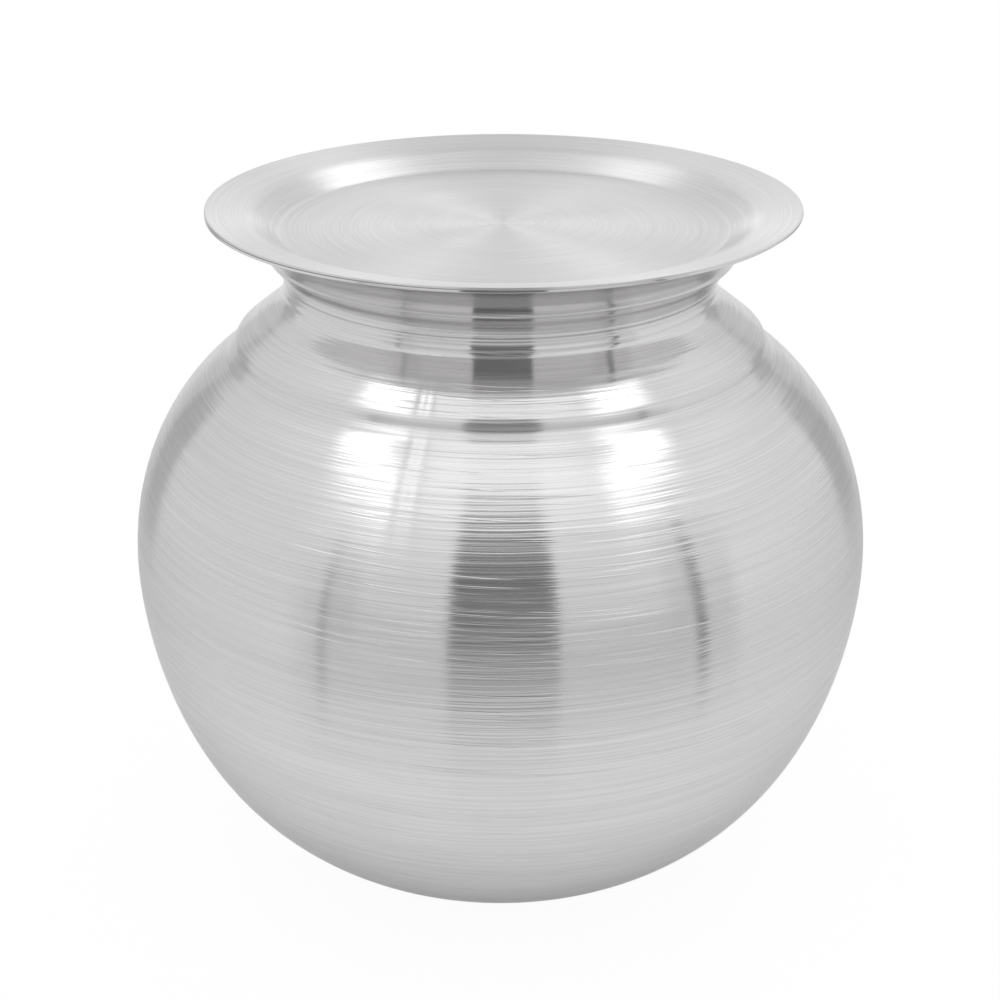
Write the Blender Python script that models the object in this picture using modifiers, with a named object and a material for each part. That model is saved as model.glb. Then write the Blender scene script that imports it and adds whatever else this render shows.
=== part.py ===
"""Water pot: a globular pot spun from aluminium sheet, with the loose dish lid that lies on its lip.

Metres, +Z up. The origin is the centre of the flat base. The lid's own origin is on the pot's axis.
"""

import math

import bpy

# Pot, outside of the sheet, from the base up
BASE_RADIUS = 0.0500      # flat circle that the pot stands on
BELLY_RADIUS = 0.1200     # widest ring
BELLY_HEIGHT = 0.1054     # base to the widest ring
STEP_RADIUS = 0.0844      # wall of the small step round the shoulder
STEP_RISE = 0.0722        # widest ring to the step
NECK_RADIUS = 0.0680      # narrowest ring
NECK_RISE = 0.0195        # step to the narrowest ring
LIP_RADIUS = 0.0910       # lower edge of the lip
LIP_RISE = 0.0215         # narrowest ring to the lower edge of the lip
POT_SHEET = 0.0008        # thickness of the pot's sheet

# Bends and slopes of the pot, slopes in degrees from the horizontal
STEP_ROUND = 0.0043       # radius of the step's outer edge
STEP_FILLET = 0.0057      # radius where the step's wall runs into the belly
LIP_SLOPE = 15.0
COLLAR_SLOPE = 39.5       # shoulder just above the step
STEP_SLOPE = 82.0         # wall of the step
BELLY_SLOPE = 32.6        # belly just below the step
BASE_SLOPE = 14.0         # belly where it leaves the base

# Lid
LID_SHEET = 0.0007        # thickness of the lid's sheet
LID_OVERHANG = 0.0008     # lid's edge past the lip's
LID_DEPTH = 0.0078        # dish floor below the lid's edge
DISH_MARGIN = 0.0074      # dish floor's edge inside the pot's mouth at the floor's height
DISH_BEND = 0.0040        # radius where the dish's wall meets its floor
CREST_BEND = 0.0140       # radius where the rim flange runs over into the wall
FLANGE_SLOPE = 11.4       # rim flange
DISH_SLOPE = 30.0         # wall of the dish
SEAT_GAP = 0.0003         # clearance between the lip and the lid

# How far each sweep keeps its first and its last heading, as shares of its chord
FLARE_PULLS = (0.39, 0.19)
COLLAR_PULLS = (0.30, 0.77)
UPPER_BELLY_PULLS = (0.12, 0.56)
LOWER_BELLY_PULLS = (0.135, 0.52)

# Faces round each piece and along each stretch of its outline
TURN_FACES = 64
FLARE_FACES = 5
COLLAR_FACES = 5
BELLY_FACES = 8
BEND_FACES = 3

MERGE_DISTANCE = 0.00001
UP = 90.0
DOWN = -90.0
INWARD = -180.0
HALF_TURN = 180.0

ALUMINIUM = (0.68, 0.67, 0.67, 1.0)


def step_towards(point, heading, distance):
    """The point at a distance from another, along a heading in degrees."""
    angle = math.radians(heading)
    return (point[0] + distance * math.cos(angle), point[1] + distance * math.sin(angle))


def sweep(start, start_heading, end, end_heading, pulls, faces):
    """A smooth cubic stretch between two points with given headings."""
    chord = math.dist(start, end)
    first = step_towards(start, start_heading, pulls[0] * chord)
    last = step_towards(end, end_heading, -pulls[1] * chord)
    points = []
    for i in range(faces + 1):
        t = i / faces
        weights = ((1 - t) ** 3, 3 * t * (1 - t) ** 2, 3 * t * t * (1 - t), t ** 3)
        handles = (start, first, last, end)
        points.append(tuple(sum(w * h[k] for w, h in zip(weights, handles)) for k in (0, 1)))
    return points


def arc(start, start_heading, end_heading, radius, faces):
    """A round stretch that leaves a point and turns to a new heading."""
    side = UP if end_heading > start_heading else DOWN
    centre = step_towards(start, start_heading + side, radius)
    points = []
    for i in range(faces + 1):
        heading = start_heading + (end_heading - start_heading) * i / faces
        points.append(step_towards(centre, heading + side, -radius))
    return points


def bend(corner, heading_in, heading_out, radius, faces):
    """A round stretch in place of the corner between two straight ones."""
    reach = radius * math.tan(math.radians(abs(heading_out - heading_in)) / 2)
    return arc(step_towards(corner, heading_in, -reach), heading_in, heading_out, radius, faces)


def joined(*stretches):
    """One outline from stretches that share their end points."""
    outline = []
    for stretch in stretches:
        for point in stretch:
            if not outline or math.dist(point, outline[-1]) > MERGE_DISTANCE:
                outline.append(point)
    return outline


def pot_stations():
    """The rings that set the pot's outline: base edge, widest ring, step, neck and lip."""
    base = (BASE_RADIUS, 0.0)
    widest = (BELLY_RADIUS, BELLY_HEIGHT)
    step = (STEP_RADIUS, BELLY_HEIGHT + STEP_RISE)
    neck = (NECK_RADIUS, step[1] + NECK_RISE)
    lip = (LIP_RADIUS, neck[1] + LIP_RISE)
    return base, widest, step, neck, lip


def pot_outline():
    """Outside of the pot, from the lip down to the middle of the base."""
    base, widest, step, neck, lip = pot_stations()
    edge_upwards = arc(step, HALF_TURN - STEP_SLOPE, HALF_TURN - COLLAR_SLOPE, STEP_ROUND, BEND_FACES)
    edge = edge_upwards[::-1]
    foot = arc(step, -STEP_SLOPE, -BELLY_SLOPE, STEP_FILLET, BEND_FACES)
    return joined(
        sweep(lip, INWARD + LIP_SLOPE, neck, DOWN, FLARE_PULLS, FLARE_FACES),
        sweep(neck, DOWN, edge[0], -COLLAR_SLOPE, COLLAR_PULLS, COLLAR_FACES),
        edge,
        foot,
        sweep(foot[-1], -BELLY_SLOPE, widest, DOWN, UPPER_BELLY_PULLS, BELLY_FACES),
        sweep(widest, DOWN, base, INWARD + BASE_SLOPE, LOWER_BELLY_PULLS, BELLY_FACES),
        [(0.0, 0.0)],
    )


def lid_edge():
    """Radius and height of the lower edge of the lid's rim, with the flange resting on the lip."""
    lip = pot_stations()[-1]
    seat = step_towards(lip, LIP_SLOPE + UP, POT_SHEET)
    radius = lip[0] + LID_OVERHANG
    rise = (radius - seat[0]) * math.tan(math.radians(FLANGE_SLOPE))
    return radius, seat[1] + SEAT_GAP + rise


def mouth_radius(height):
    """Inside of the pot's flare at one height, and of its neck below the flare."""
    neck, lip = pot_stations()[-2:]
    flare = sweep(lip, INWARD + LIP_SLOPE, neck, DOWN, FLARE_PULLS, FLARE_FACES)
    for above, below in zip(flare, flare[1:]):
        if below[1] <= height:
            fall = above[1] - below[1]
            outside = below[0] + (above[0] - below[0]) * (height - below[1]) / fall
            return outside - POT_SHEET * math.dist(above, below) / fall
    return neck[0] - POT_SHEET


def lid_outline():
    """Underside of the lid, from the edge of its rim to the middle of its floor, below the edge's height."""
    radius, height = lid_edge()
    floor = (mouth_radius(height - LID_DEPTH) - DISH_MARGIN, -LID_DEPTH)
    flange_fall = math.tan(math.radians(FLANGE_SLOPE))
    wall_fall = math.tan(math.radians(DISH_SLOPE))
    crest_radius = (LID_DEPTH + floor[0] * wall_fall - radius * flange_fall) / (wall_fall - flange_fall)
    crest = (crest_radius, (crest_radius - radius) * flange_fall)
    return joined(
        [(radius, 0.0)],
        bend(crest, INWARD + FLANGE_SLOPE, INWARD + DISH_SLOPE, CREST_BEND, BEND_FACES),
        bend(floor, INWARD + DISH_SLOPE, INWARD, DISH_BEND, BEND_FACES),
        [(0.0, -LID_DEPTH)],
    )


def sheet_metal(name, roughness):
    """Bare spun aluminium."""
    material = bpy.data.materials.new(name)
    material.use_nodes = True
    shader = material.node_tree.nodes["Principled BSDF"]
    shader.inputs["Base Color"].default_value = ALUMINIUM
    shader.inputs["Metallic"].default_value = 1.0
    shader.inputs["Roughness"].default_value = roughness
    return material


def spun_sheet(name, outline, thickness, height, material, collection):
    """A piece turned from its outline, with the sheet's thickness on the inner side."""
    mesh = bpy.data.meshes.new(name)
    edges = [(i, i + 1) for i in range(len(outline) - 1)]
    mesh.from_pydata([(radius, 0.0, z) for radius, z in outline], edges, [])
    mesh.materials.append(material)
    piece = bpy.data.objects.new(name, mesh)
    piece.location.z = height
    collection.objects.link(piece)

    turn = piece.modifiers.new("Turn", "SCREW")
    turn.axis = "Z"
    turn.angle = math.tau
    turn.steps = TURN_FACES
    turn.render_steps = TURN_FACES
    turn.use_merge_vertices = True
    turn.merge_threshold = MERGE_DISTANCE
    turn.use_smooth_shade = True

    sheet = piece.modifiers.new("Sheet", "SOLIDIFY")
    sheet.thickness = thickness
    sheet.offset = -1.0
    sheet.use_even_offset = True
    return piece


def build():
    for item in list(bpy.data.objects):
        bpy.data.objects.remove(item, do_unlink=True)
    collection = bpy.data.collections.new("water_pot")
    bpy.context.scene.collection.children.link(collection)

    brushed = sheet_metal("brushed_aluminium", 0.30)
    satin = sheet_metal("satin_aluminium", 0.35)
    spun_sheet("pot_body", pot_outline(), POT_SHEET, 0.0, brushed, collection)
    spun_sheet("lid", lid_outline(), LID_SHEET, lid_edge()[1], satin, collection)


build()
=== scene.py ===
"""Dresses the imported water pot: two sheets of spun aluminium with their tool lines, in a white studio.

Metres, +Z up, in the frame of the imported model. The camera stands on the -Y side, as in the photograph.
"""

import math

import bpy
from mathutils import Matrix, Vector


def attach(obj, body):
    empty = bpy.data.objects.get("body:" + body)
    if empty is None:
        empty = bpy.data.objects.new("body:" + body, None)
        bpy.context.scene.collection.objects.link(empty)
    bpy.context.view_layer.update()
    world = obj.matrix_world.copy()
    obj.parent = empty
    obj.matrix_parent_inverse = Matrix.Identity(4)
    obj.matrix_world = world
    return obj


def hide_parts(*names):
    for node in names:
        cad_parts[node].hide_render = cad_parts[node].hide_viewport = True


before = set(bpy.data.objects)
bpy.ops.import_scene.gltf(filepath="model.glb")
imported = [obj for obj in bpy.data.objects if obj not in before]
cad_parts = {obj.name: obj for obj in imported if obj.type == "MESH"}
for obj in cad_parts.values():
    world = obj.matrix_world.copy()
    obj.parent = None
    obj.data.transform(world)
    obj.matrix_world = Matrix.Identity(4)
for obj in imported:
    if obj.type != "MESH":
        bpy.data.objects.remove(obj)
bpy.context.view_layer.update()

# The pot's outline, as in the part's source, outside of the sheet, from the base up
BASE_RADIUS = 0.0500
BELLY_RADIUS = 0.1200
BELLY_HEIGHT = 0.1054
STEP_RADIUS = 0.0844
STEP_RISE = 0.0722
NECK_RADIUS = 0.0680
NECK_RISE = 0.0195
LIP_RADIUS = 0.0910
LIP_RISE = 0.0215
POT_SHEET = 0.0008
STEP_ROUND = 0.0043
STEP_FILLET = 0.0057
LIP_SLOPE = 15.0
COLLAR_SLOPE = 39.5
STEP_SLOPE = 82.0
BELLY_SLOPE = 32.6
BASE_SLOPE = 14.0
FLARE_PULLS = (0.39, 0.19)
COLLAR_PULLS = (0.30, 0.77)
UPPER_BELLY_PULLS = (0.12, 0.56)
LOWER_BELLY_PULLS = (0.135, 0.52)

# The lid's outline
LID_SHEET = 0.0007
LID_OVERHANG = 0.0008
LID_DEPTH = 0.0078
DISH_RADIUS = 0.06998
DISH_BEND = 0.0040
CREST_BEND = 0.0140
FLANGE_SLOPE = 11.4
DISH_SLOPE = 30.0
SEAT_GAP = 0.0003

CORNER_SHARE = 0.22       # how much of a sheet's edge each broken corner takes

# Faces round each piece and along each stretch of its outline
TURN_FACES = 192
FLARE_FACES = 150
COLLAR_FACES = 120
BELLY_FACES = 130
BASE_FACES = 24
FLANGE_FACES = 30
FLOOR_FACES = 110
BEND_FACES = 14
EDGE_FACES = 4
INSIDE_STRIDE = 3         # the inside of a sheet keeps every third ring

# Rings that the spinning tool raised or pressed in, by height, width and depth
FLARE_RINGS = (
    (0.2098, 0.0022, -0.00032),   # hollow of the flare
    (0.2065, 0.0008, 0.00022),    # bead under it, with a sharp top
    (0.2054, 0.0015, 0.00040),
    (0.2022, 0.0013, -0.00022),   # groove below the bead
)
NECK_RINGS = (
    (0.1991, 0.00045, 0.00012),
    (0.1973, 0.00040, 0.00010),
    (0.1949, 0.00080, 0.00020),
)
STEP_RINGS = (
    (0.1795, 0.00022, -0.00005),  # creases above and below the step
    (0.1769, 0.00022, -0.00006),
    (0.1748, 0.0014, 0.00045),    # foot of the step
)

# Ripples that it left, by spacing and depth, and where they set in and fade
NECK_RIPPLES = ((0.0046, 0.000018), (0.0029, 0.000009))
NECK_RIPPLES_FOOT = (0.1810, 0.1850)
NECK_RIPPLES_TOP = (0.2020, 0.2060)
BELLY_RIPPLES = ((0.0061, 0.000012), (0.0037, 0.000008), (0.0023, 0.000005))
BELLY_RIPPLES_FOOT = (0.012, 0.030)     # above the base
BELLY_RIPPLES_TOP = (0.008, 0.003)      # below the step
LID_RIPPLES = ((0.0071, 0.000012), (0.0043, 0.000008), (0.0026, 0.000004))
LID_RIPPLES_START = 0.006               # from the middle of the lid

# The collar is fuller on the camera's side
SWELL_HEIGHT = 0.1880
SWELL_ABOVE = 0.0065      # how far it reaches up and down
SWELL_BELOW = 0.0062
SWELL_DEPTH = 0.0012
SWELL_FRONT = (0.1, 0.9)  # shares of the way to the front at which it sets in and is full

# How far hand-spun ware is out of true
NECK_LEAN = 0.00062       # flare and lid to the right of the belly's axis
LEAN_START = 0.001        # the lean sets in this far below the neck
FLARE_START = 0.006       # and is full this far above it, where the lip's own faults set in
SHOULDER_TILT = 0.008     # shoulder up at the front and down at the back, per metre
SHOULDER = (0.158, 0.176, 0.190, 0.200)     # heights between which it does so
LID_SHIFT = 0.00037       # lid to the right of the lip
LIP_TILT = 0.0018         # lip and lid up at the front and down at the back, per metre
LID_RISE = 0.00034        # lid above its place in the CAD
LIP_LIFT = 0.00060        # takes up the clearance below the lid
LIP_SPREAD = 0.0005       # lip past its circle on its wider side
LIP_WIDE_SIDE = -145.0    # that side, in degrees round the axis from +X

UP = 90.0
DOWN = -90.0
INWARD = -180.0
HALF_TURN = 180.0
MERGE_DISTANCE = 0.00001
UV_NAME = "turned"

# Tool lines in the finish: marks per radian round the axis, marks per metre of section, detail and shift
HAIRS = (1.6, 1900.0, 1.0, 0.0)
BANDS = (1.0, 800.0, 1.0, 7.0)
BROAD = (0.7, 60.0, 2.0, 13.0)
CUTS = (2.4, 1500.0, 0.0, 29.0)
CUTS_SLANT = 0.004            # how far the cuts run off their rings
CUTS_SHOWN = (0.68, 0.78)     # a cut sets in between these levels of the noise
CUTS_DEPTH = 0.5              # share of the hairs' depth
HAIRS_TONE = 0.75             # shares of the hairs and the broad bands in the colour
BROAD_TONE = 0.25
BANDS_ROUGHNESS = 0.2         # what the bands add to the roughness
BROAD_ROUGHNESS = (0.8, 1.0)  # and what the broad bands leave of it
BROAD_MIDDLE = (0.3, 0.7)     # where most of their noise lies
POLISHED = (0.165, 0.180)     # heights between which the tool lines become fainter
POLISH = 0.35                 # what is left of them above
WORN = (0.1750, 0.1808)       # heights between which the step's edges are worn and less sharp in the light
WORN_SOFT = 0.0012
WEAR = 0.5                    # share that this adds to the roughness
NECK_FOOT = (0.1812, 0.1842)  # heights between which the belly's finish gives way to the neck's
GLANCING_TINT = 0.82          # colour of reflections at the edge of the shape
QUARTER_TURN = 0.25           # the gloss is drawn out across the tool lines

# Camera: the photograph is taken to be 1000 pixels wide
FOCAL_PIXELS = 1700.0
IMAGE_PIXELS = 1000.0
SENSOR = 36.0
CAMERA_PITCH = 24.6215
CAMERA_DISTANCE = 0.56924
CAMERA_SIDE = -0.00013
AIM_HEIGHT = 0.1182

# Studio, in degrees round the axis from the camera's side, to the right, and brightness where 1 is white
STUDIO_LEVEL = 0.82       # all of the studio's light
TENT_SIDE = 0.91          # the tent's sides, and its top
TENT_TOP = 1.10
TENT_RISE = (24.0, 66.0)  # elevations between which the sides give way to the top
GAP_SIDES = (-15.0, 16.8)         # gap that the camera looks through
LEFT_SEAM = (-54.0, -51.5)        # seams between the tent's panels
RIGHT_SEAM = (58.5, 62.0)
BOX_LEAN = 0.15           # how the soft boxes rise towards the back, in degrees per degree
BOX_FRONT = 66.0          # azimuth at which their elevation is as written
LEFT_BOX = 1.10           # brightness that the left soft box adds
LEFT_BOX_EDGE = (-18.4, -16.8)    # its inner edge, as the side of the pot that mirrors it
FOLDS_RISE = (44.0, 74.0)         # elevations between which the folds beside that edge hang
SIGHT_FRONT = 0.923       # from the pot to the camera, as shares of one, to the front and to the right
SIGHT_SIDE = 0.048
WHITE = (1.0, 1.0, 1.0, 1.0)

# Floor, by distance from the axis in metres
FLOOR_SIZE = 30.0         # from its middle to each side
FLOOR_REACH = (0.14, 0.31)
PAINTED_FLOOR_NEAR = 0.94         # painted brightness of its glow in the metal, beside the pot and away from it
PAINTED_FLOOR_FAR = 0.785
FLOOR_SEEN = 0.948        # share of the floor's white that glows for the camera, so that it stays white
FLOOR_MIRRORED = 0.20     # and for the metal
FLOOR_WHITE = 1.01        # the glow and the lit share together
BELLY_SHARE = 0.6         # how far round the belly the place is that mirrors a place of the floor


def step_towards(point, heading, distance):
    """The point at a distance from another, along a heading in degrees."""
    angle = math.radians(heading)
    return (point[0] + distance * math.cos(angle), point[1] + distance * math.sin(angle))


def sweep(start, start_heading, end, end_heading, pulls, faces):
    """A smooth cubic stretch between two points with given headings."""
    chord = math.dist(start, end)
    first = step_towards(start, start_heading, pulls[0] * chord)
    last = step_towards(end, end_heading, -pulls[1] * chord)
    points = []
    for i in range(faces + 1):
        t = i / faces
        weights = ((1 - t) ** 3, 3 * t * (1 - t) ** 2, 3 * t * t * (1 - t), t ** 3)
        handles = (start, first, last, end)
        points.append(tuple(sum(w * h[k] for w, h in zip(weights, handles)) for k in (0, 1)))
    return points


def straight(start, end, faces):
    """Evenly spaced points on a line."""
    points = []
    for i in range(faces + 1):
        t = i / faces
        points.append((start[0] + (end[0] - start[0]) * t, start[1] + (end[1] - start[1]) * t))
    return points


def arc(start, start_heading, end_heading, radius, faces):
    """A round stretch that leaves a point and turns to a new heading."""
    side = UP if end_heading > start_heading else DOWN
    centre = step_towards(start, start_heading + side, radius)
    points = []
    for i in range(faces + 1):
        heading = start_heading + (end_heading - start_heading) * i / faces
        points.append(step_towards(centre, heading + side, -radius))
    return points


def bend(corner, heading_in, heading_out, radius, faces):
    """A round stretch in place of the corner between two straight ones."""
    reach = radius * math.tan(math.radians(abs(heading_out - heading_in)) / 2)
    return arc(step_towards(corner, heading_in, -reach), heading_in, heading_out, radius, faces)


def joined(*stretches):
    """One outline from stretches that share their end points."""
    outline = []
    for stretch in stretches:
        for point in stretch:
            if not outline or math.dist(point, outline[-1]) > MERGE_DISTANCE:
                outline.append(point)
    return outline


def pot_outline():
    """Outside of the pot, from the lip down to the middle of the base."""
    base = (BASE_RADIUS, 0.0)
    widest = (BELLY_RADIUS, BELLY_HEIGHT)
    step = (STEP_RADIUS, BELLY_HEIGHT + STEP_RISE)
    neck = (NECK_RADIUS, step[1] + NECK_RISE)
    lip = (LIP_RADIUS, neck[1] + LIP_RISE)
    edge_upwards = arc(step, HALF_TURN - STEP_SLOPE, HALF_TURN - COLLAR_SLOPE, STEP_ROUND, BEND_FACES)
    edge = edge_upwards[::-1]
    foot = arc(step, -STEP_SLOPE, -BELLY_SLOPE, STEP_FILLET, BEND_FACES)
    return joined(
        sweep(lip, INWARD + LIP_SLOPE, neck, DOWN, FLARE_PULLS, FLARE_FACES),
        sweep(neck, DOWN, edge[0], -COLLAR_SLOPE, COLLAR_PULLS, COLLAR_FACES),
        edge,
        foot,
        sweep(foot[-1], -BELLY_SLOPE, widest, DOWN, UPPER_BELLY_PULLS, BELLY_FACES),
        sweep(widest, DOWN, base, INWARD + BASE_SLOPE, LOWER_BELLY_PULLS, BELLY_FACES),
        straight(base, (0.0, 0.0), BASE_FACES),
    )


def lid_edge():
    """Radius and height of the lower edge of the lid's rim, with the flange resting on the lip."""
    lip = (LIP_RADIUS, BELLY_HEIGHT + STEP_RISE + NECK_RISE + LIP_RISE)
    seat = step_towards(lip, LIP_SLOPE + UP, POT_SHEET)
    radius = lip[0] + LID_OVERHANG
    rise = (radius - seat[0]) * math.tan(math.radians(FLANGE_SLOPE))
    return radius, seat[1] + SEAT_GAP + rise


def lid_outline():
    """Underside of the lid, from the edge of its rim to the middle of its floor."""
    radius, height = lid_edge()
    floor = (DISH_RADIUS, height - LID_DEPTH)
    flange_fall = math.tan(math.radians(FLANGE_SLOPE))
    wall_fall = math.tan(math.radians(DISH_SLOPE))
    crest_radius = (LID_DEPTH + floor[0] * wall_fall - radius * flange_fall) / (wall_fall - flange_fall)
    crest = (crest_radius, height + (crest_radius - radius) * flange_fall)
    crest_bend = bend(crest, INWARD + FLANGE_SLOPE, INWARD + DISH_SLOPE, CREST_BEND, BEND_FACES)
    floor_bend = bend(floor, INWARD + DISH_SLOPE, INWARD, DISH_BEND, BEND_FACES)
    return joined(
        straight((radius, height), crest_bend[0], FLANGE_FACES),
        crest_bend,
        straight(crest_bend[-1], floor_bend[0], BEND_FACES),
        floor_bend,
        straight(floor_bend[-1], (0.0, floor[1]), FLOOR_FACES),
    )


def distances(outline):
    """How far along an outline each of its points is."""
    run = [0.0]
    for before, after in zip(outline, outline[1:]):
        run.append(run[-1] + math.dist(before, after))
    return run


def normals(outline):
    """The outward direction at each point of an outline that runs down and inwards."""
    result = []
    last = len(outline) - 1
    for i in range(len(outline)):
        before = outline[max(i - 1, 0)]
        after = outline[min(i + 1, last)]
        length = math.dist(before, after)
        result.append(((before[1] - after[1]) / length, (after[0] - before[0]) / length))
    return result


def shifted(outline, amounts):
    """The outline with each point moved outwards by its own amount."""
    moved = []
    for point, normal, amount in zip(outline, normals(outline), amounts):
        moved.append((max(point[0] + normal[0] * amount, 0.0), point[1] + normal[1] * amount))
    return moved


def ease(value, low, high):
    """0 below low, 1 above high, and a smooth rise between them."""
    t = min(max((value - low) / (high - low), 0.0), 1.0)
    return t * t * (3 - 2 * t)


def waves(run, lines):
    """Depth of several sets of tool lines at one place, never above the surface."""
    depth = 0.0
    for count, (spacing, height) in enumerate(lines):
        depth -= height * (1 + math.sin(math.tau * run / spacing + count))
    return depth


def ring(height, middle, width, depth):
    """Height of one raised ring of the section at one place."""
    return depth * math.exp(-(((height - middle) / width) ** 2))


def pot_marks(outline):
    """What the spinning tool left on the pot: rings on the flare, neck and step, and ripples."""
    amounts = []
    step_height = BELLY_HEIGHT + STEP_RISE
    belly_top = (step_height - BELLY_RIPPLES_TOP[0], step_height - BELLY_RIPPLES_TOP[1])
    for (_, height), run in zip(outline, distances(outline)):
        rings = sum(ring(height, *values) for values in FLARE_RINGS + NECK_RINGS + STEP_RINGS)
        on_neck = ease(height, *NECK_RIPPLES_FOOT) * (1 - ease(height, *NECK_RIPPLES_TOP))
        on_belly = ease(height, *BELLY_RIPPLES_FOOT) * (1 - ease(height, *belly_top))
        amounts.append(rings + on_neck * waves(run, NECK_RIPPLES) + on_belly * waves(run, BELLY_RIPPLES))
    return amounts


def lid_marks(outline):
    """Fine rings on the lid's floor and flange."""
    amounts = []
    for (radius, _), run in zip(outline, distances(outline)):
        amounts.append(ease(radius, 0.0, LID_RIPPLES_START) * -waves(run, LID_RIPPLES))
    return amounts


def cut_edge(outer, inner):
    """The edge of a sheet with its two corners broken, and both sides cut back for them."""
    thickness = math.dist(outer[0], inner[0])
    across = ((inner[0][0] - outer[0][0]) / thickness, (inner[0][1] - outer[0][1]) / thickness)
    out = (outer[0][0] - outer[1][0], outer[0][1] - outer[1][1])
    size = math.hypot(*out)
    out = (out[0] / size, out[1] / size)
    corner = CORNER_SHARE * thickness
    kept_outer = [p for p in outer if math.dist(p, outer[0]) > corner]
    kept_inner = [p for p in inner if math.dist(p, inner[0]) > corner]
    edge = []
    for start, depth in ((0.0, corner), (90.0, thickness - corner)):
        for i in range(EDGE_FACES + 1):
            angle = math.radians(start + 90.0 * i / EDGE_FACES)
            side = depth - corner * math.cos(angle)
            reach = corner * (math.sin(angle) - 1)
            edge.append((
                outer[0][0] + across[0] * side + out[0] * reach,
                outer[0][1] + across[1] * side + out[1] * reach,
            ))
    return kept_outer, edge, kept_inner


def closed_sheet(outer, thickness):
    """The whole section of a sheet, from the middle of its outside to the middle of its inside."""
    coarse = outer[:-1:INSIDE_STRIDE] + [outer[-1]]
    inner = shifted(coarse, [-thickness] * len(coarse))
    inner[-1] = (0.0, inner[-1][1])
    kept_outer, edge, kept_inner = cut_edge(outer, inner)
    return joined(kept_outer[::-1], edge, kept_inner)


def turned_piece(name, section, material, out_of_true):
    """A mesh turned from its section about the Z axis, with the way along the section in its UV map."""
    points = []
    rings = []
    for radius, height in section:
        first = len(points)
        if radius < MERGE_DISTANCE:
            points.append(out_of_true(0.0, height, 0.0))
            rings.append([first] * TURN_FACES)
            continue
        for j in range(TURN_FACES):
            angle = math.tau * j / TURN_FACES
            points.append(out_of_true(radius, height, angle))
        rings.append([first + j for j in range(TURN_FACES)])

    run = distances(section)
    faces = []
    places = []
    for i in range(len(section) - 1):
        for j in range(TURN_FACES):
            k = (j + 1) % TURN_FACES
            corners = (rings[i][j], rings[i][k], rings[i + 1][k], rings[i + 1][j])
            left = j / TURN_FACES
            right = (j + 1) / TURN_FACES
            spots = ((left, run[i]), (right, run[i]), (right, run[i + 1]), (left, run[i + 1]))
            face = []
            place = []
            for corner, spot in zip(corners, spots):
                if corner not in face:
                    face.append(corner)
                    place.append(spot)
            faces.append(face)
            places.extend(place)

    mesh = bpy.data.meshes.new(name)
    mesh.from_pydata(points, [], faces)
    layer = mesh.uv_layers.new(name=UV_NAME)
    for loop, spot in zip(layer.data, places):
        loop.uv = spot
    mesh.polygons.foreach_set("use_smooth", [True] * len(mesh.polygons))
    mesh.materials.append(material)
    piece = bpy.data.objects.new(name, mesh)
    bpy.context.scene.collection.objects.link(piece)
    return piece


def pot_out_of_true(radius, height, angle):
    """A point of the pot, whose neck leans, whose shoulder tilts and whose lip is wider on one side.

    The swell of the collar goes outwards and up alike.
    """
    neck_height = BELLY_HEIGHT + STEP_RISE + NECK_RISE
    front = ease(-math.sin(angle), *SWELL_FRONT)
    reach = SWELL_ABOVE if height > SWELL_HEIGHT else SWELL_BELOW
    swell = front * ring(height, SWELL_HEIGHT, reach, SWELL_DEPTH) / math.sqrt(2)
    on_lip = ease(height, neck_height + FLARE_START, neck_height + LIP_RISE)
    on_shoulder = ease(height, SHOULDER[0], SHOULDER[1]) * (1 - ease(height, SHOULDER[2], SHOULDER[3]))
    lean = NECK_LEAN * ease(height, neck_height - LEAN_START, neck_height + FLARE_START)
    side = math.cos(angle - math.radians(LIP_WIDE_SIDE))
    wide = radius + on_lip * LIP_SPREAD * side + swell
    across = wide * math.sin(angle)
    rise = on_lip * (LIP_LIFT - LIP_TILT * across) - on_shoulder * SHOULDER_TILT * across + swell
    return (wide * math.cos(angle) + lean, across, height + rise)


def lid_out_of_true(radius, height, angle):
    """A point of the lid, which lies a little to one side on the leaning neck."""
    across = radius * math.sin(angle)
    return (radius * math.cos(angle) + NECK_LEAN + LID_SHIFT, across, height + LID_RISE - LIP_TILT * across)


def feed(tree, socket, value):
    """Sets a node's input to a number, or links another node's output to it."""
    if isinstance(value, bpy.types.NodeSocket):
        tree.links.new(value, socket)
    else:
        socket.default_value = value


def calculate(tree, operation, *values):
    """The result of a sum in a Math node."""
    node = tree.nodes.new("ShaderNodeMath")
    node.operation = operation
    for socket, value in zip(node.inputs, values):
        feed(tree, socket, value)
    return node.outputs["Value"]


def remap(tree, value, low, high, to_low=0.0, to_high=1.0):
    """A smooth rise from one value to another."""
    node = tree.nodes.new("ShaderNodeMapRange")
    node.interpolation_type = "SMOOTHSTEP"
    feed(tree, node.inputs["Value"], value)
    node.inputs["From Min"].default_value = low
    node.inputs["From Max"].default_value = high
    node.inputs["To Min"].default_value = to_low
    node.inputs["To Max"].default_value = to_high
    return node.outputs["Result"]


def within(tree, value, low, high, soft):
    """1 between two values and 0 outside them, with soft edges."""
    rise = remap(tree, value, low - soft, low + soft)
    fall = remap(tree, value, high - soft, high + soft, 1.0, 0.0)
    return calculate(tree, "MULTIPLY", rise, fall)


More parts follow.
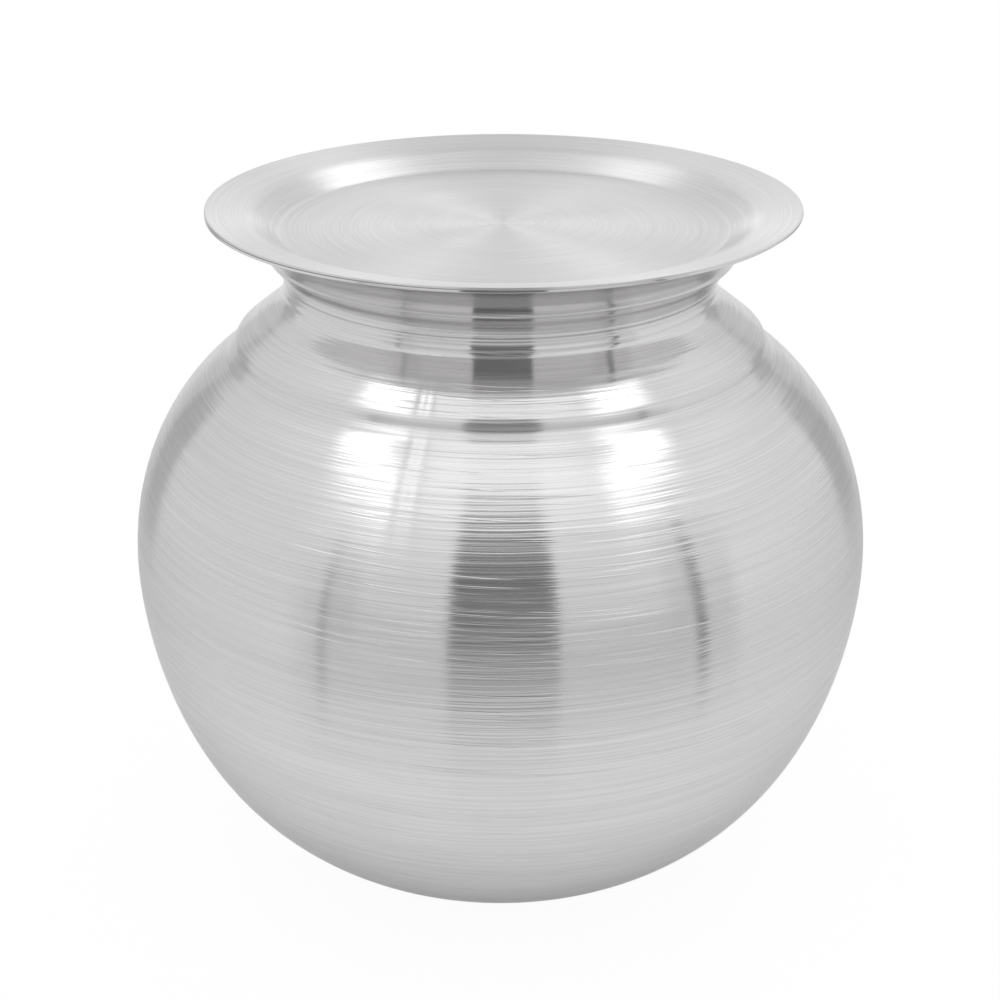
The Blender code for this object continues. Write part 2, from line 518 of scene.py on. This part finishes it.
def place_on_turning(tree, slant=0.0):
    """Where a point is on a turned piece: a unit vector round the axis, and the distance along the section.

    A slant, in metres, carries the lines off their rings.
    """
    where = tree.nodes.new("ShaderNodeTexCoord").outputs["Object"]
    flat = tree.nodes.new("ShaderNodeVectorMath")
    flat.operation = "MULTIPLY"
    feed(tree, flat.inputs[0], where)
    flat.inputs[1].default_value = (1.0, 1.0, 0.0)
    unit = tree.nodes.new("ShaderNodeVectorMath")
    unit.operation = "NORMALIZE"
    feed(tree, unit.inputs[0], flat.outputs["Vector"])
    spot = tree.nodes.new("ShaderNodeUVMap")
    spot.uv_map = UV_NAME
    spot_parts = tree.nodes.new("ShaderNodeSeparateXYZ")
    feed(tree, spot_parts.inputs["Vector"], spot.outputs["UV"])
    unit_parts = tree.nodes.new("ShaderNodeSeparateXYZ")
    feed(tree, unit_parts.inputs["Vector"], unit.outputs["Vector"])
    place = tree.nodes.new("ShaderNodeCombineXYZ")
    feed(tree, place.inputs["X"], unit_parts.outputs["X"])
    feed(tree, place.inputs["Y"], unit_parts.outputs["Y"])
    along = calculate(tree, "MULTIPLY_ADD", unit_parts.outputs["X"], slant, spot_parts.outputs["Y"])
    feed(tree, place.inputs["Z"], along)
    return place.outputs["Vector"]


def ring_noise(tree, place, around, along, detail, shift):
    """Noise drawn out round the axis: around is marks per radian, along is marks per metre of section."""
    stretch = tree.nodes.new("ShaderNodeVectorMath")
    stretch.operation = "MULTIPLY_ADD"
    feed(tree, stretch.inputs[0], place)
    stretch.inputs[1].default_value = (around, around, along)
    stretch.inputs[2].default_value = (shift, shift, shift)
    noise = tree.nodes.new("ShaderNodeTexNoise")
    feed(tree, noise.inputs["Vector"], stretch.outputs["Vector"])
    noise.inputs["Scale"].default_value = 1.0
    noise.inputs["Detail"].default_value = detail
    return noise.outputs["Fac"]


def spun_aluminium(name, colour, roughness, neck_roughness, anisotropy, hairs_depth, bands_depth, contrast):
    """Bare aluminium with the fine rings that the tool and the polishing left round the axis.

    Depths are in metres, and contrast is the share by which the colour varies.
    """
    material = bpy.data.materials.new(name)
    material.use_nodes = True
    tree = material.node_tree
    shader = tree.nodes["Principled BSDF"]
    place = place_on_turning(tree)

    hairs = ring_noise(tree, place, *HAIRS)
    bands = ring_noise(tree, place, *BANDS)
    broad = ring_noise(tree, place, *BROAD)
    cuts = ring_noise(tree, place_on_turning(tree, CUTS_SLANT), *CUTS)
    scratch = remap(tree, cuts, *CUTS_SHOWN)

    fine = calculate(tree, "MULTIPLY", hairs, hairs_depth)
    middle = calculate(tree, "MULTIPLY", bands, bands_depth)
    deep = calculate(tree, "MULTIPLY", scratch, hairs_depth * CUTS_DEPTH)
    height = calculate(tree, "ADD", calculate(tree, "ADD", fine, middle), deep)
    level = tree.nodes.new("ShaderNodeSeparateXYZ")
    feed(tree, level.inputs["Vector"], tree.nodes.new("ShaderNodeTexCoord").outputs["Object"])
    height = calculate(tree, "MULTIPLY", height, remap(tree, level.outputs["Z"], *POLISHED, 1.0, POLISH))
    bump = tree.nodes.new("ShaderNodeBump")
    bump.inputs["Strength"].default_value = 1.0
    bump.inputs["Distance"].default_value = 1.0
    feed(tree, bump.inputs["Height"], height)
    feed(tree, shader.inputs["Normal"], bump.outputs["Normal"])

    tone = tree.nodes.new("ShaderNodeMix")
    tone.data_type = "RGBA"
    dark = tuple(c * (1 - contrast) for c in colour)
    light = tuple(min(c * (1 + contrast), 1.0) for c in colour)
    tone.inputs["A"].default_value = (*dark, 1.0)
    tone.inputs["B"].default_value = (*light, 1.0)
    mixed = calculate(tree, "MULTIPLY", broad, BROAD_TONE)
    mixed = calculate(tree, "MULTIPLY_ADD", hairs, HAIRS_TONE, mixed)
    feed(tree, tone.inputs["Factor"], mixed)
    feed(tree, shader.inputs["Base Color"], tone.outputs["Result"])

    cloudy = remap(tree, broad, *BROAD_MIDDLE, *BROAD_ROUGHNESS)
    uneven = calculate(tree, "MULTIPLY_ADD", bands, BANDS_ROUGHNESS, cloudy)
    worn = within(tree, level.outputs["Z"], *WORN, WORN_SOFT)
    uneven = calculate(tree, "MULTIPLY", uneven, calculate(tree, "MULTIPLY_ADD", worn, WEAR, 1.0))
    rough = remap(tree, level.outputs["Z"], *NECK_FOOT, roughness, neck_roughness)
    rough = calculate(tree, "MULTIPLY", rough, uneven)
    feed(tree, shader.inputs["Roughness"], rough)

    shader.inputs["Metallic"].default_value = 1.0
    shader.inputs["Specular Tint"].default_value = (GLANCING_TINT, GLANCING_TINT, GLANCING_TINT, 1.0)
    shader.inputs["Anisotropic"].default_value = anisotropy
    shader.inputs["Anisotropic Rotation"].default_value = QUARTER_TURN
    tangent = tree.nodes.new("ShaderNodeTangent")
    tangent.direction_type = "RADIAL"
    tangent.axis = "Z"
    feed(tree, shader.inputs["Tangent"], tangent.outputs["Tangent"])
    return material


def patch(tree, azimuth, elevation, sides, heights, soft_sides, soft_heights):
    """A soft-edged patch of the studio's tent, between two azimuths and two elevations in degrees."""
    across = within(tree, azimuth, sides[0], sides[1], soft_sides)
    up = within(tree, elevation, heights[0], heights[1], soft_heights)
    return calculate(tree, "MULTIPLY", across, up)


def dimmed(tree, light, spot, depth):
    """Light that a patch takes a share of."""
    return calculate(tree, "MULTIPLY", light, calculate(tree, "MULTIPLY_ADD", spot, -depth, 1.0))


def studio_directions(tree):
    """Measures of a direction in the studio, in degrees.

    They are its azimuth, how far that is from the front, its elevation, its elevation above a line that
    rises towards the back as the soft boxes do, and the azimuth halfway between it and the camera's place,
    which is about the side of a turned piece that mirrors it.
    """
    direction = tree.nodes.new("ShaderNodeTexCoord").outputs["Generated"]
    parts = tree.nodes.new("ShaderNodeSeparateXYZ")
    feed(tree, parts.inputs["Vector"], direction)
    towards_camera = calculate(tree, "MULTIPLY", parts.outputs["Y"], -1.0)
    turn = calculate(tree, "ARCTAN2", parts.outputs["X"], towards_camera)
    azimuth = calculate(tree, "DEGREES", turn)
    elevation = calculate(tree, "DEGREES", calculate(tree, "ARCSINE", parts.outputs["Z"]))

    away = calculate(tree, "ABSOLUTE", azimuth)
    outward = calculate(tree, "SUBTRACT", away, BOX_FRONT)
    leaning = calculate(tree, "MULTIPLY_ADD", outward, -BOX_LEAN, elevation)
    to_front = calculate(tree, "ADD", towards_camera, SIGHT_FRONT)
    to_side = calculate(tree, "ADD", parts.outputs["X"], SIGHT_SIDE)
    halfway = calculate(tree, "DEGREES", calculate(tree, "ARCTAN2", to_side, to_front))
    return azimuth, away, elevation, leaning, halfway


def tent_light(tree):
    """Brightness of the tent in each direction, with the soft boxes, lamps, folds, seams and gap.

    A row has its measures across and up, its strength, its sides and heights, and the softness of both.
    """
    azimuth, away, elevation, leaning, halfway = studio_directions(tree)
    lit = (
        # Front panels, brighter upwards
        (away, elevation, 0.34, (-62.0, 62.0), (54.0, 82.0), 12.0, 10.0),
        # Right soft box, and the right side, a little brighter
        (azimuth, leaning, 1.20, (52.0, 118.0), (48.0, 60.5), 3.0, 3.0),
        (azimuth, elevation, 0.07, (73.0, 130.0), (-30.0, 44.0), 4.0, 8.0),
        # Two lamps at the back
        (azimuth, elevation, 2.70, (143.0, 158.0), (43.0, 57.0), 2.0, 3.0),
        (azimuth, elevation, 1.80, (-158.0, -143.0), (46.0, 58.0), 2.0, 3.0),
        # Outer halves of the front panels
        (away, elevation, 0.05, (36.0, 70.0), (27.0, 48.0), 8.0, 6.0),
        # Brighter foot of the back panel
        (away, elevation, 0.10, (150.0, 181.0), (-5.0, 30.0), 6.0, 6.0),
        (away, elevation, 0.36, (174.0, 181.0), (0.0, 36.0), 3.0, 6.0),
        (away, elevation, 0.55, (168.0, 181.0), (-5.0, 10.0), 4.0, 3.0),
        # Two folds beside the left soft box
        (halfway, elevation, 0.60, (-16.1, -15.3), FOLDS_RISE, 0.3, 4.0),
        (halfway, elevation, 0.60, (-14.6, -13.8), FOLDS_RISE, 0.3, 4.0),
    )
    shaded = (
        # Front panels, dimmer below
        (away, elevation, 0.22, (-60.0, 60.0), (-30.0, 8.0), 8.0, 14.0),
        # Gap for the camera
        (azimuth, elevation, 0.58, GAP_SIDES, (-20.0, 53.0), 0.9, 7.0),
        (azimuth, elevation, 0.78, GAP_SIDES, (12.0, 28.0), 0.9, 9.0),
        # Seams of the tent
        (azimuth, elevation, 0.26, LEFT_SEAM, (-30.0, 28.0), 0.6, 6.0),
        (azimuth, elevation, 0.12, (-53.0, -43.0), (-20.0, 24.0), 1.5, 8.0),
        (azimuth, elevation, 0.64, RIGHT_SEAM, (-30.0, 26.0), 0.6, 6.0),
        (azimuth, elevation, 0.14, (50.0, 61.0), (-20.0, 24.0), 1.5, 8.0),
        (azimuth, elevation, 0.15, (62.0, 73.0), (-30.0, 12.0), 3.0, 6.0),
        # Between and beside the folds
        (halfway, elevation, 0.45, (-17.2, -16.6), FOLDS_RISE, 0.3, 4.0),
        (halfway, elevation, 0.50, (-15.1, -14.8), FOLDS_RISE, 0.3, 4.0),
        (halfway, elevation, 0.35, (-13.3, -12.7), FOLDS_RISE, 0.3, 4.0),
        # Dim corners beside the back panel, and its dim top
        (away, elevation, 0.30, (130.0, 145.0), (-30.0, 14.0), 2.0, 4.0),
        (away, elevation, 0.12, (145.0, 158.0), (-30.0, 30.0), 3.0, 4.0),
        (away, elevation, 0.28, (162.0, 200.0), (38.0, 80.0), 5.0, 5.0),
    )
    light = remap(tree, elevation, *TENT_RISE, TENT_SIDE, TENT_TOP)
    left_box = patch(tree, azimuth, leaning, (-118.0, -30.0), (49.5, 61.5), 3.0, 3.0)
    left_box = calculate(tree, "MULTIPLY", left_box, remap(tree, halfway, *LEFT_BOX_EDGE, 1.0, 0.0))
    light = calculate(tree, "MULTIPLY_ADD", left_box, LEFT_BOX, light)
    for across, up, strength, *limits in lit:
        light = calculate(tree, "MULTIPLY_ADD", patch(tree, across, up, *limits), strength, light)
    for across, up, depth, *limits in shaded:
        light = dimmed(tree, light, patch(tree, across, up, *limits), depth)
    return light


def light_studio():
    """A white tent with two soft boxes, and the dark gap in front that the camera looks through."""
    world = bpy.data.worlds.new("studio")
    bpy.context.scene.world = world
    world.use_nodes = True
    tree = world.node_tree
    tree.nodes.clear()

    tent = tree.nodes.new("ShaderNodeBackground")
    tent.inputs["Color"].default_value = WHITE
    feed(tree, tent.inputs["Strength"], calculate(tree, "MULTIPLY", tent_light(tree), STUDIO_LEVEL))
    white = tree.nodes.new("ShaderNodeBackground")
    white.inputs["Color"].default_value = WHITE
    rays = tree.nodes.new("ShaderNodeLightPath")
    choice = tree.nodes.new("ShaderNodeMixShader")
    feed(tree, choice.inputs["Fac"], rays.outputs["Is Camera Ray"])
    feed(tree, choice.inputs[1], tent.outputs["Background"])
    feed(tree, choice.inputs[2], white.outputs["Background"])
    output = tree.nodes.new("ShaderNodeOutputWorld")
    feed(tree, output.inputs["Surface"], choice.outputs["Shader"])


def painted_floor_light_and_shade(tree):
    """Painted light and shade on the floor's glow in the metal: darker where the tent's gap, seams and
    corners go on, lighter before the back panel.

    A row has its depth, its sides and their softness, and the distances between which it sets in. The sides
    are as seen from the place on the belly that mirrors them, which is off the axis.
    """
    shaded = (
        # Painted shade of the camera's gap
        (0.31, GAP_SIDES, 0.9, 0.12, 0.65),
        (0.20, GAP_SIDES, 0.9, 0.9, 2.5),
        # Painted shade under the front panels
        (0.22, (-60.0, 60.0), 8.0, 0.17, 0.6),
        # Painted shade of the tent's seams
        (0.30, LEFT_SEAM, 0.6, 0.22, 0.45),
        (0.55, RIGHT_SEAM, 0.6, 0.20, 0.60),
        (0.15, (62.0, 73.0), 3.0, 0.20, 0.60),
        # Painted shade of the dim corners at the back
        (0.28, (-147.0, -130.0), 3.0, 0.35, 0.60),
        (0.28, (130.0, 147.0), 3.0, 0.40, 0.70),
        # Painted light on the floor before the back panel
        (-0.25, (-200.0, -155.0), 6.0, 0.30, 0.80),
        (-0.25, (155.0, 200.0), 6.0, 0.30, 0.80),
    )
    parts = tree.nodes.new("ShaderNodeSeparateXYZ")
    where = tree.nodes.new("ShaderNodeTexCoord").outputs["Object"]
    feed(tree, parts.inputs["Vector"], where)
    length = tree.nodes.new("ShaderNodeVectorMath")
    length.operation = "LENGTH"
    feed(tree, length.inputs[0], where)
    reach = length.outputs["Value"]
    towards_camera = calculate(tree, "MULTIPLY", parts.outputs["Y"], -1.0)
    turn = calculate(tree, "ARCTAN2", parts.outputs["X"], towards_camera)
    aside = calculate(tree, "SINE", calculate(tree, "MULTIPLY", turn, BELLY_SHARE))
    aside = calculate(tree, "DIVIDE", calculate(tree, "MULTIPLY", aside, BELLY_RADIUS), reach)
    azimuth = calculate(tree, "DEGREES", calculate(tree, "ADD", turn, calculate(tree, "ARCSINE", aside)))

    # Painted light and shade on the floor's glow in the metal: lighter beside the pot, darker away from it
    light = remap(tree, reach, *FLOOR_REACH, PAINTED_FLOOR_NEAR, PAINTED_FLOOR_FAR)
    for depth, sides, soft, near, far in shaded:
        across = within(tree, azimuth, *sides, soft)
        spot = calculate(tree, "MULTIPLY", across, remap(tree, reach, near, far))
        light = dimmed(tree, light, spot, depth)
    return light


def floor_material():
    """White that glows for the camera and in the metal, with painted light and shade in the metal, over a
    matt share that takes the pot's shadow.
    """
    material = bpy.data.materials.new("studio_white")
    material.use_nodes = True
    tree = material.node_tree
    tree.nodes.clear()

    rays = tree.nodes.new("ShaderNodeLightPath").outputs
    mirrored = calculate(tree, "MAXIMUM", rays["Is Glossy Ray"], rays["Is Transmission Ray"])
    # In the metal the floor's glow takes painted light and shade of the tent's gap, seams and corners
    change = calculate(tree, "SUBTRACT", painted_floor_light_and_shade(tree), 1.0)
    tone = calculate(tree, "MULTIPLY_ADD", mirrored, change, 1.0)
    seen = calculate(tree, "MULTIPLY", rays["Is Camera Ray"], FLOOR_SEEN)
    share = calculate(tree, "MULTIPLY_ADD", mirrored, FLOOR_MIRRORED * STUDIO_LEVEL, seen)
    glow = calculate(tree, "MULTIPLY", share, tone)
    rest = calculate(tree, "MULTIPLY", calculate(tree, "SUBTRACT", FLOOR_WHITE, share), tone)
    matt = tree.nodes.new("ShaderNodeBsdfDiffuse")
    shade = tree.nodes.new("ShaderNodeCombineColor")
    for channel in ("Red", "Green", "Blue"):
        feed(tree, shade.inputs[channel], rest)
    feed(tree, matt.inputs["Color"], shade.outputs["Color"])
    emission = tree.nodes.new("ShaderNodeEmission")
    emission.inputs["Color"].default_value = WHITE
    feed(tree, emission.inputs["Strength"], glow)
    both = tree.nodes.new("ShaderNodeAddShader")
    feed(tree, both.inputs[0], matt.outputs["BSDF"])
    feed(tree, both.inputs[1], emission.outputs["Emission"])
    output = tree.nodes.new("ShaderNodeOutputMaterial")
    feed(tree, output.inputs["Surface"], both.outputs["Shader"])
    return material


def lay_floor():
    """A wide white floor that stays white in the picture, carries painted light and shade in the metal, and
    keeps the pot's shadow.
    """
    edge = FLOOR_SIZE
    corners = [(-edge, -edge, 0), (edge, -edge, 0), (edge, edge, 0), (-edge, edge, 0)]
    mesh = bpy.data.meshes.new("studio_floor")
    mesh.from_pydata(corners, [], [(0, 1, 2, 3)])
    mesh.materials.append(floor_material())
    floor = bpy.data.objects.new("studio_floor", mesh)
    bpy.context.scene.collection.objects.link(floor)


def place_camera():
    """The photograph's camera, which looks down at the middle of the pot's axis."""
    data = bpy.data.cameras.new("camera")
    data.sensor_width = SENSOR
    data.lens = FOCAL_PIXELS / IMAGE_PIXELS * SENSOR
    camera = bpy.data.objects.new("camera", data)
    pitch = math.radians(CAMERA_PITCH)
    back = Vector((0.0, -math.cos(pitch), math.sin(pitch))) * CAMERA_DISTANCE
    tilt = Matrix.Rotation(math.pi / 2 - pitch, 4, "X")
    camera.matrix_world = Matrix.Translation(Vector((CAMERA_SIDE, 0.0, AIM_HEIGHT)) + back) @ tilt
    bpy.context.scene.collection.objects.link(camera)
    bpy.context.scene.camera = camera


def make_pot():
    """The pot, bright below the step and brighter on the neck."""
    metal = spun_aluminium(
        "spun_aluminium",
        colour=(0.80, 0.792, 0.794),
        roughness=0.17,
        neck_roughness=0.12,
        anisotropy=1.0,
        hairs_depth=0.00009,
        bands_depth=0.00012,
        contrast=0.18,
    )
    outline = pot_outline()
    outer = shifted(outline, pot_marks(outline))
    piece = turned_piece("spun_pot", closed_sheet(outer, POT_SHEET), metal, pot_out_of_true)
    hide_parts("pot_body")
    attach(piece, "pot")


def make_lid():
    """The lid, with a satin finish all over."""
    metal = spun_aluminium(
        "satin_aluminium",
        colour=(0.785, 0.777, 0.779),
        roughness=0.33,
        neck_roughness=0.33,
        anisotropy=0.86,
        hairs_depth=0.00012,
        bands_depth=0.00022,
        contrast=0.13,
    )
    outline = lid_outline()
    outer = shifted(outline, lid_marks(outline))
    piece = turned_piece("spun_lid", closed_sheet(outer, LID_SHEET), metal, lid_out_of_true)
    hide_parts("lid")
    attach(piece, "lid")


bpy.context.scene.view_settings.view_transform = "Standard"
place_camera()
light_studio()
lay_floor()
make_pot()
make_lid()
